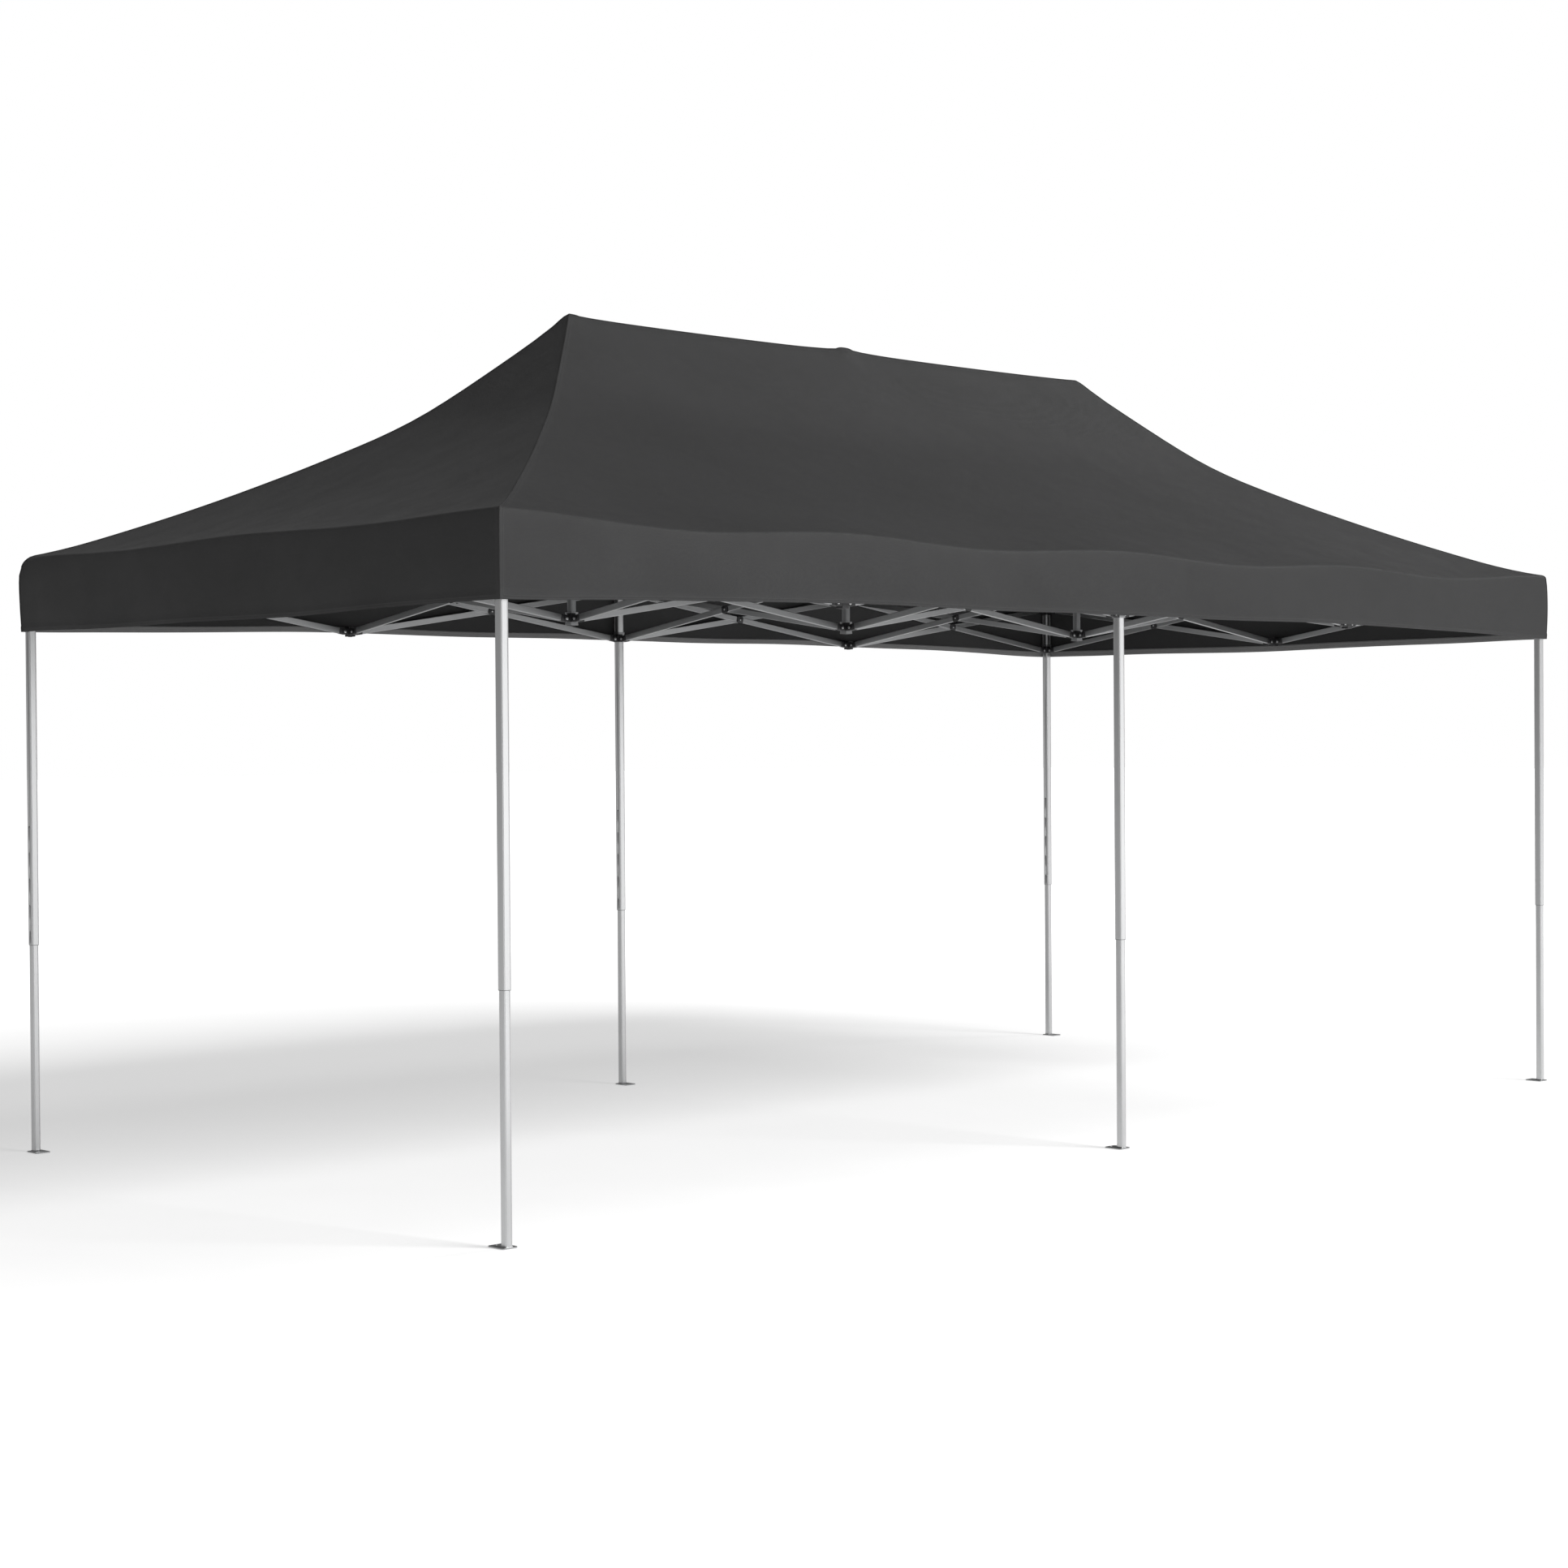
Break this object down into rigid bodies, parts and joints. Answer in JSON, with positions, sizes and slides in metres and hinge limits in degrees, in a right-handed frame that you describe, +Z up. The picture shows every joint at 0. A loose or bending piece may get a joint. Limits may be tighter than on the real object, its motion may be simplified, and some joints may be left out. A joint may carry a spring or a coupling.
{
  "type": "pop up canopy",
  "caption": "Rectangular folding canopy: telescopic square legs with foot plates, a grid of scissor bars, masts under a ridged fabric roof, and a straight fabric skirt.",
  "frame": {"origin": "on the floor, under the middle of the cover", "axes": "+X along the long side to the right, +Y from the front to the back, +Z up"},
  "size_m": [5.9, 2.964, 3.152],
  "materials": {
    "leg": "brushed, clear anodised",
    "bar": "brushed, clear anodised",
    "plastic": "fine moulded grain",
    "cover": "coated plain weave"
  },
  "bodies": {
    "leg_front_middle": {"outer_leg_front_middle": "leg", "cover": "cover"},
    "front_bar_3_falling": {"front_bar_3_falling": "bar"},
    "front_bar_3_rising": {"front_bar_3_rising": "bar"},
    "slider_front_middle": {"slider_front_middle": "plastic"},
    "front_bar_2_rising": {"front_bar_2_rising": "bar"},
    "front_bar_2_falling": {"front_bar_2_falling": "bar"},
    "cross_bar_1_falling": {"cross_bar_1_falling": "bar"},
    "cross_bar_1_rising": {"cross_bar_1_rising": "bar"},
    "mast_middle": {"mast_middle": "leg"},
    "cross_bar_2_rising": {"cross_bar_2_rising": "bar"},
    "cross_bar_2_falling": {"cross_bar_2_falling": "bar"},
    "leg_back_middle": {"outer_leg_back_middle": "leg"},
    "slider_back_middle": {"slider_back_middle": "plastic"},
    "ridge_bar_3_rising": {"ridge_bar_3_rising": "bar"},
    "ridge_bar_3_falling": {"ridge_bar_3_falling": "bar"},
    "mast_right": {"mast_right": "leg"},
    "ridge_bar_4_rising": {"ridge_bar_4_rising": "bar"},
    "ridge_bar_4_falling": {"ridge_bar_4_falling": "bar"},
    "connector_right": {"connector_right": "plastic"},
    "ridge_bar_2_falling": {"ridge_bar_2_falling": "bar"},
    "ridge_bar_2_rising": {"ridge_bar_2_rising": "bar"},
    "mast_left": {"mast_left": "leg"},
    "ridge_bar_1_falling": {"ridge_bar_1_falling": "bar"},
    "ridge_bar_1_rising": {"ridge_bar_1_rising": "bar"},
    "connector_left": {"connector_left": "plastic"},
    "left_bar_1_rising": {"left_bar_1_rising": "bar"},
    "left_bar_1_falling": {"left_bar_1_falling": "bar"},
    "leg_front_left": {"outer_leg_front_left": "leg"},
    "slider_front_left": {"slider_front_left": "plastic"},
    "left_bar_2_falling": {"left_bar_2_falling": "bar"},
    "left_bar_2_rising": {"left_bar_2_rising": "bar"},
    "leg_back_left": {"outer_leg_back_left": "leg"},
    "slider_back_left": {"slider_back_left": "plastic"},
    "right_bar_1_rising": {"right_bar_1_rising": "bar"},
    "right_bar_1_falling": {"right_bar_1_falling": "bar"},
    "leg_front_right": {"outer_leg_front_right": "leg"},
    "slider_front_right": {"slider_front_right": "plastic"},
    "right_bar_2_falling": {"right_bar_2_falling": "bar"},
    "right_bar_2_rising": {"right_bar_2_rising": "bar"},
    "leg_back_right": {"outer_leg_back_right": "leg"},
    "slider_back_right": {"slider_back_right": "plastic"},
    "front_bar_1_falling": {"front_bar_1_falling": "bar"},
    "front_bar_1_rising": {"front_bar_1_rising": "bar"},
    "front_bar_4_rising": {"front_bar_4_rising": "bar"},
    "front_bar_4_falling": {"front_bar_4_falling": "bar"},
    "back_bar_1_falling": {"back_bar_1_falling": "bar"},
    "back_bar_1_rising": {"back_bar_1_rising": "bar"},
    "back_bar_4_rising": {"back_bar_4_rising": "bar"},
    "back_bar_4_falling": {"back_bar_4_falling": "bar"},
    "back_bar_3_falling": {"back_bar_3_falling": "bar"},
    "back_bar_3_rising": {"back_bar_3_rising": "bar"},
    "back_bar_2_rising": {"back_bar_2_rising": "bar"},
    "back_bar_2_falling": {"back_bar_2_falling": "bar"},
    "inner_leg_front_left": {"inner_leg_front_left": "leg"},
    "inner_leg_front_middle": {"inner_leg_front_middle": "leg"},
    "inner_leg_front_right": {"inner_leg_front_right": "leg"},
    "inner_leg_back_left": {"inner_leg_back_left": "leg"},
    "inner_leg_back_middle": {"inner_leg_back_middle": "leg"},
    "inner_leg_back_right": {"inner_leg_back_right": "leg"}
  },
  "joints": [
    {"name": "fold", "type": "hinge", "parent": "leg_front_middle", "child": "front_bar_3_falling", "pos_m": [0.035, -1.46, 2.225], "axis": [0, 1, 0], "range_deg": [0, 79.1], "deforming": ["cover"]},
    {"name": "front_bar_3_rising_crossing", "type": "hinge", "parent": "front_bar_3_falling", "child": "front_bar_3_rising", "pos_m": [0.73, -1.46, 2.12], "axis": [0, 1, 0], "range_deg": [-158.2, 0]},
    {"name": "slider_front_middle_pivot", "type": "hinge", "parent": "front_bar_3_rising", "child": "slider_front_middle", "pos_m": [0.035, -1.46, 2.015], "axis": [0, 1, 0], "range_deg": [0, 79.1]},
    {"name": "front_bar_2_rising_pivot", "type": "hinge", "parent": "leg_front_middle", "child": "front_bar_2_rising", "pos_m": [-0.035, -1.46, 2.225], "axis": [0, 1, 0], "range_deg": [-79.1, 0]},
    {"name": "front_bar_2_falling_crossing", "type": "hinge", "parent": "front_bar_2_rising", "child": "front_bar_2_falling", "pos_m": [-0.73, -1.46, 2.12], "axis": [0, 1, 0], "range_deg": [0, 158.2]},
    {"name": "cross_bar_1_falling_pivot", "type": "hinge", "parent": "leg_front_middle", "child": "cross_bar_1_falling", "pos_m": [0, -1.425, 2.225], "axis": [1, 0, 0], "range_deg": [-79.1, 0]},
    {"name": "cross_bar_1_rising_crossing", "type": "hinge", "parent": "cross_bar_1_falling", "child": "cross_bar_1_rising", "pos_m": [0, -0.73, 2.12], "axis": [1, 0, 0], "range_deg": [0, 158.2]},
    {"name": "mast_middle_pivot", "type": "hinge", "parent": "cross_bar_1_falling", "child": "mast_middle", "pos_m": [0, -0.035, 2.015], "axis": [1, 0, 0], "range_deg": [0, 79.1]},
    {"name": "cross_bar_2_rising_pivot", "type": "hinge", "parent": "mast_middle", "child": "cross_bar_2_rising", "pos_m": [0, 0.035, 2.015], "axis": [1, 0, 0], "range_deg": [0, 79.1]},
    {"name": "cross_bar_2_falling_crossing", "type": "hinge", "parent": "cross_bar_2_rising", "child": "cross_bar_2_falling", "pos_m": [0, 0.73, 2.12], "axis": [1, 0, 0], "range_deg": [-158.2, 0]},
    {"name": "leg_back_middle_pivot", "type": "hinge", "parent": "cross_bar_2_rising", "child": "leg_back_middle", "pos_m": [0, 1.425, 2.225], "axis": [1, 0, 0], "range_deg": [-79.1, 0]},
    {"name": "slider_back_middle_pivot", "type": "hinge", "parent": "cross_bar_2_falling", "child": "slider_back_middle", "pos_m": [0, 1.425, 2.015], "axis": [1, 0, 0], "range_deg": [0, 79.1]},
    {"name": "ridge_bar_3_rising_pivot", "type": "hinge", "parent": "mast_middle", "child": "ridge_bar_3_rising", "pos_m": [0.035, 0, 2.015], "axis": [0, 1, 0], "range_deg": [-79.1, 0]},
    {"name": "ridge_bar_3_falling_crossing", "type": "hinge", "parent": "ridge_bar_3_rising", "child": "ridge_bar_3_falling", "pos_m": [0.73, 0, 2.12], "axis": [0, 1, 0], "range_deg": [0, 158.2]},
    {"name": "mast_right_pivot", "type": "hinge", "parent": "ridge_bar_3_falling", "child": "mast_right", "pos_m": [1.425, 0, 2.015], "axis": [0, 1, 0], "range_deg": [-79.1, 0]},
    {"name": "ridge_bar_4_rising_pivot", "type": "hinge", "parent": "mast_right", "child": "ridge_bar_4_rising", "pos_m": [1.495, 0, 2.015], "axis": [0, 1, 0], "range_deg": [-79.1, 0]},
    {"name": "ridge_bar_4_falling_crossing", "type": "hinge", "parent": "ridge_bar_4_rising", "child": "ridge_bar_4_falling", "pos_m": [2.19, 0, 2.12], "axis": [0, 1, 0], "range_deg": [0, 158.2]},
    {"name": "connector_right_pivot", "type": "hinge", "parent": "ridge_bar_4_rising", "child": "connector_right", "pos_m": [2.885, 0, 2.225], "axis": [0, 1, 0], "range_deg": [0, 79.1]},
    {"name": "ridge_bar_2_falling_pivot", "type": "hinge", "parent": "mast_middle", "child": "ridge_bar_2_falling", "pos_m": [-0.035, 0, 2.015], "axis": [0, 1, 0], "range_deg": [0, 79.1]},
    {"name": "ridge_bar_2_rising_crossing", "type": "hinge", "parent": "ridge_bar_2_falling", "child": "ridge_bar_2_rising", "pos_m": [-0.73, 0, 2.12], "axis": [0, 1, 0], "range_deg": [-158.2, 0]},
    {"name": "mast_left_pivot", "type": "hinge", "parent": "ridge_bar_2_rising", "child": "mast_left", "pos_m": [-1.425, 0, 2.015], "axis": [0, 1, 0], "range_deg": [0, 79.1]},
    {"name": "ridge_bar_1_falling_pivot", "type": "hinge", "parent": "mast_left", "child": "ridge_bar_1_falling", "pos_m": [-1.495, 0, 2.015], "axis": [0, 1, 0], "range_deg": [0, 79.1]},
    {"name": "ridge_bar_1_rising_crossing", "type": "hinge", "parent": "ridge_bar_1_falling", "child": "ridge_bar_1_rising", "pos_m": [-2.19, 0, 2.12], "axis": [0, 1, 0], "range_deg": [-158.2, 0]},
    {"name": "connector_left_pivot", "type": "hinge", "parent": "ridge_bar_1_falling", "child": "connector_left", "pos_m": [-2.885, 0, 2.225], "axis": [0, 1, 0], "range_deg": [-79.1, 0]},
    {"name": "left_bar_1_rising_pivot", "type": "hinge", "parent": "connector_left", "child": "left_bar_1_rising", "pos_m": [-2.92, -0.035, 2.225], "axis": [1, 0, 0], "range_deg": [0, 79.1]},
    {"name": "left_bar_1_falling_crossing", "type": "hinge", "parent": "left_bar_1_rising", "child": "left_bar_1_falling", "pos_m": [-2.92, -0.73, 2.12], "axis": [1, 0, 0], "range_deg": [-158.2, 0]},
    {"name": "leg_front_left_pivot", "type": "hinge", "parent": "left_bar_1_falling", "child": "leg_front_left", "pos_m": [-2.92, -1.425, 2.225], "axis": [1, 0, 0], "range_deg": [0, 79.1]},
    {"name": "slider_front_left_pivot", "type": "hinge", "parent": "left_bar_1_rising", "child": "slider_front_left", "pos_m": [-2.92, -1.425, 2.015], "axis": [1, 0, 0], "range_deg": [-79.1, 0]},
    {"name": "left_bar_2_falling_pivot", "type": "hinge", "parent": "connector_left", "child": "left_bar_2_falling", "pos_m": [-2.92, 0.035, 2.225], "axis": [1, 0, 0], "range_deg": [-79.1, 0]},
    {"name": "left_bar_2_rising_crossing", "type": "hinge", "parent": "left_bar_2_falling", "child": "left_bar_2_rising", "pos_m": [-2.92, 0.73, 2.12], "axis": [1, 0, 0], "range_deg": [0, 158.2]},
    {"name": "leg_back_left_pivot", "type": "hinge", "parent": "left_bar_2_rising", "child": "leg_back_left", "pos_m": [-2.92, 1.425, 2.225], "axis": [1, 0, 0], "range_deg": [-79.1, 0]},
    {"name": "slider_back_left_pivot", "type": "hinge", "parent": "left_bar_2_falling", "child": "slider_back_left", "pos_m": [-2.92, 1.425, 2.015], "axis": [1, 0, 0], "range_deg": [0, 79.1]},
    {"name": "right_bar_1_rising_pivot", "type": "hinge", "parent": "connector_right", "child": "right_bar_1_rising", "pos_m": [2.92, -0.035, 2.225], "axis": [1, 0, 0], "range_deg": [0, 79.1]},
    {"name": "right_bar_1_falling_crossing", "type": "hinge", "parent": "right_bar_1_rising", "child": "right_bar_1_falling", "pos_m": [2.92, -0.73, 2.12], "axis": [1, 0, 0], "range_deg": [-158.2, 0]},
    {"name": "leg_front_right_pivot", "type": "hinge", "parent": "right_bar_1_falling", "child": "leg_front_right", "pos_m": [2.92, -1.425, 2.225], "axis": [1, 0, 0], "range_deg": [0, 79.1]},
    {"name": "slider_front_right_pivot", "type": "hinge", "parent": "right_bar_1_rising", "child": "slider_front_right", "pos_m": [2.92, -1.425, 2.015], "axis": [1, 0, 0], "range_deg": [-79.1, 0]},
    {"name": "right_bar_2_falling_pivot", "type": "hinge", "parent": "connector_right", "child": "right_bar_2_falling", "pos_m": [2.92, 0.035, 2.225], "axis": [1, 0, 0], "range_deg": [-79.1, 0]},
    {"name": "right_bar_2_rising_crossing", "type": "hinge", "parent": "right_bar_2_falling", "child": "right_bar_2_rising", "pos_m": [2.92, 0.73, 2.12], "axis": [1, 0, 0], "range_deg": [0, 158.2]},
    {"name": "leg_back_right_pivot", "type": "hinge", "parent": "right_bar_2_rising", "child": "leg_back_right", "pos_m": [2.92, 1.425, 2.225], "axis": [1, 0, 0], "range_deg": [-79.1, 0]},
    {"name": "slider_back_right_pivot", "type": "hinge", "parent": "right_bar_2_falling", "child": "slider_back_right", "pos_m": [2.92, 1.425, 2.015], "axis": [1, 0, 0], "range_deg": [0, 79.1]},
    {"name": "front_bar_1_falling_pivot", "type": "hinge", "parent": "leg_front_left", "child": "front_bar_1_falling", "pos_m": [-2.885, -1.46, 2.225], "axis": [0, 1, 0], "range_deg": [0, 79.1]},
    {"name": "front_bar_1_rising_crossing", "type": "hinge", "parent": "front_bar_1_falling", "child": "front_bar_1_rising", "pos_m": [-2.19, -1.46, 2.12], "axis": [0, 1, 0], "range_deg": [-158.2, 0]},
    {"name": "front_bar_4_rising_pivot", "type": "hinge", "parent": "leg_front_right", "child": "front_bar_4_rising", "pos_m": [2.885, -1.46, 2.225], "axis": [0, 1, 0], "range_deg": [-79.1, 0]},
    {"name": "front_bar_4_falling_crossing", "type": "hinge", "parent": "front_bar_4_rising", "child": "front_bar_4_falling", "pos_m": [2.19, -1.46, 2.12], "axis": [0, 1, 0], "range_deg": [0, 158.2]},
    {"name": "back_bar_1_falling_pivot", "type": "hinge", "parent": "leg_back_left", "child": "back_bar_1_falling", "pos_m": [-2.885, 1.46, 2.225], "axis": [0, 1, 0], "range_deg": [0, 79.1]},
    {"name": "back_bar_1_rising_crossing", "type": "hinge", "parent": "back_bar_1_falling", "child": "back_bar_1_rising", "pos_m": [-2.19, 1.46, 2.12], "axis": [0, 1, 0], "range_deg": [-158.2, 0]},
    {"name": "back_bar_4_rising_pivot", "type": "hinge", "parent": "leg_back_right", "child": "back_bar_4_rising", "pos_m": [2.885, 1.46, 2.225], "axis": [0, 1, 0], "range_deg": [-79.1, 0]},
    {"name": "back_bar_4_falling_crossing", "type": "hinge", "parent": "back_bar_4_rising", "child": "back_bar_4_falling", "pos_m": [2.19, 1.46, 2.12], "axis": [0, 1, 0], "range_deg": [0, 158.2]},
    {"name": "back_bar_3_falling_pivot", "type": "hinge", "parent": "leg_back_middle", "child": "back_bar_3_falling", "pos_m": [0.035, 1.46, 2.225], "axis": [0, 1, 0], "range_deg": [0, 79.1]},
    {"name": "back_bar_3_rising_crossing", "type": "hinge", "parent": "back_bar_3_falling", "child": "back_bar_3_rising", "pos_m": [0.73, 1.46, 2.12], "axis": [0, 1, 0], "range_deg": [-158.2, 0]},
    {"name": "back_bar_2_rising_pivot", "type": "hinge", "parent": "leg_back_middle", "child": "back_bar_2_rising", "pos_m": [-0.035, 1.46, 2.225], "axis": [0, 1, 0], "range_deg": [-79.1, 0]},
    {"name": "back_bar_2_falling_crossing", "type": "hinge", "parent": "back_bar_2_rising", "child": "back_bar_2_falling", "pos_m": [-0.73, 1.46, 2.12], "axis": [0, 1, 0], "range_deg": [0, 158.2]},
    {"name": "inner_leg_front_left_slide", "type": "slide", "parent": "leg_front_left", "child": "inner_leg_front_left", "axis": [0, 0, 1], "range_m": [0, 0.78]},
    {"name": "inner_leg_front_middle_slide", "type": "slide", "parent": "leg_front_middle", "child": "inner_leg_front_middle", "axis": [0, 0, 1], "range_m": [0, 0.78]},
    {"name": "inner_leg_front_right_slide", "type": "slide", "parent": "leg_front_right", "child": "inner_leg_front_right", "axis": [0, 0, 1], "range_m": [0, 0.78]},
    {"name": "inner_leg_back_left_slide", "type": "slide", "parent": "leg_back_left", "child": "inner_leg_back_left", "axis": [0, 0, 1], "range_m": [0, 0.78]},
    {"name": "inner_leg_back_middle_slide", "type": "slide", "parent": "leg_back_middle", "child": "inner_leg_back_middle", "axis": [0, 0, 1], "range_m": [0, 0.78]},
    {"name": "inner_leg_back_right_slide", "type": "slide", "parent": "leg_back_right", "child": "inner_leg_back_right", "axis": [0, 0, 1], "range_m": [0, 0.78]}
  ],
  "couplings": [
    {"joint": "front_bar_3_rising_crossing", "follows": "fold", "ratio": -2},
    {"joint": "slider_front_middle_pivot", "follows": "fold", "ratio": 1},
    {"joint": "front_bar_2_rising_pivot", "follows": "fold", "ratio": -1},
    {"joint": "front_bar_2_falling_crossing", "follows": "fold", "ratio": 2},
    {"joint": "cross_bar_1_falling_pivot", "follows": "fold", "ratio": -1},
    {"joint": "cross_bar_1_rising_crossing", "follows": "fold", "ratio": 2},
    {"joint": "mast_middle_pivot", "follows": "fold", "ratio": 1},
    {"joint": "cross_bar_2_rising_pivot", "follows": "fold", "ratio": 1},
    {"joint": "cross_bar_2_falling_crossing", "follows": "fold", "ratio": -2},
    {"joint": "leg_back_middle_pivot", "follows": "fold", "ratio": -1},
    {"joint": "slider_back_middle_pivot", "follows": "fold", "ratio": 1},
    {"joint": "ridge_bar_3_rising_pivot", "follows": "fold", "ratio": -1},
    {"joint": "ridge_bar_3_falling_crossing", "follows": "fold", "ratio": 2},
    {"joint": "mast_right_pivot", "follows": "fold", "ratio": -1},
    {"joint": "ridge_bar_4_rising_pivot", "follows": "fold", "ratio": -1},
    {"joint": "ridge_bar_4_falling_crossing", "follows": "fold", "ratio": 2},
    {"joint": "connector_right_pivot", "follows": "fold", "ratio": 1},
    {"joint": "ridge_bar_2_falling_pivot", "follows": "fold", "ratio": 1},
    {"joint": "ridge_bar_2_rising_crossing", "follows": "fold", "ratio": -2},
    {"joint": "mast_left_pivot", "follows": "fold", "ratio": 1},
    {"joint": "ridge_bar_1_falling_pivot", "follows": "fold", "ratio": 1},
    {"joint": "ridge_bar_1_rising_crossing", "follows": "fold", "ratio": -2},
    {"joint": "connector_left_pivot", "follows": "fold", "ratio": -1},
    {"joint": "left_bar_1_rising_pivot", "follows": "fold", "ratio": 1},
    {"joint": "left_bar_1_falling_crossing", "follows": "fold", "ratio": -2},
    {"joint": "leg_front_left_pivot", "follows": "fold", "ratio": 1},
    {"joint": "slider_front_left_pivot", "follows": "fold", "ratio": -1},
    {"joint": "left_bar_2_falling_pivot", "follows": "fold", "ratio": -1},
    {"joint": "left_bar_2_rising_crossing", "follows": "fold", "ratio": 2},
    {"joint": "leg_back_left_pivot", "follows": "fold", "ratio": -1},
    {"joint": "slider_back_left_pivot", "follows": "fold", "ratio": 1},
    {"joint": "right_bar_1_rising_pivot", "follows": "fold", "ratio": 1},
    {"joint": "right_bar_1_falling_crossing", "follows": "fold", "ratio": -2},
    {"joint": "leg_front_right_pivot", "follows": "fold", "ratio": 1},
    {"joint": "slider_front_right_pivot", "follows": "fold", "ratio": -1},
    {"joint": "right_bar_2_falling_pivot", "follows": "fold", "ratio": -1},
    {"joint": "right_bar_2_rising_crossing", "follows": "fold", "ratio": 2},
    {"joint": "leg_back_right_pivot", "follows": "fold", "ratio": -1},
    {"joint": "slider_back_right_pivot", "follows": "fold", "ratio": 1},
    {"joint": "front_bar_1_falling_pivot", "follows": "fold", "ratio": 1},
    {"joint": "front_bar_1_rising_crossing", "follows": "fold", "ratio": -2},
    {"joint": "front_bar_4_rising_pivot", "follows": "fold", "ratio": -1},
    {"joint": "front_bar_4_falling_crossing", "follows": "fold", "ratio": 2},
    {"joint": "back_bar_1_falling_pivot", "follows": "fold", "ratio": 1},
    {"joint": "back_bar_1_rising_crossing", "follows": "fold", "ratio": -2},
    {"joint": "back_bar_4_rising_pivot", "follows": "fold", "ratio": -1},
    {"joint": "back_bar_4_falling_crossing", "follows": "fold", "ratio": 2},
    {"joint": "back_bar_3_falling_pivot", "follows": "fold", "ratio": 1},
    {"joint": "back_bar_3_rising_crossing", "follows": "fold", "ratio": -2},
    {"joint": "back_bar_2_rising_pivot", "follows": "fold", "ratio": -1},
    {"joint": "back_bar_2_falling_crossing", "follows": "fold", "ratio": 2}
  ]
}
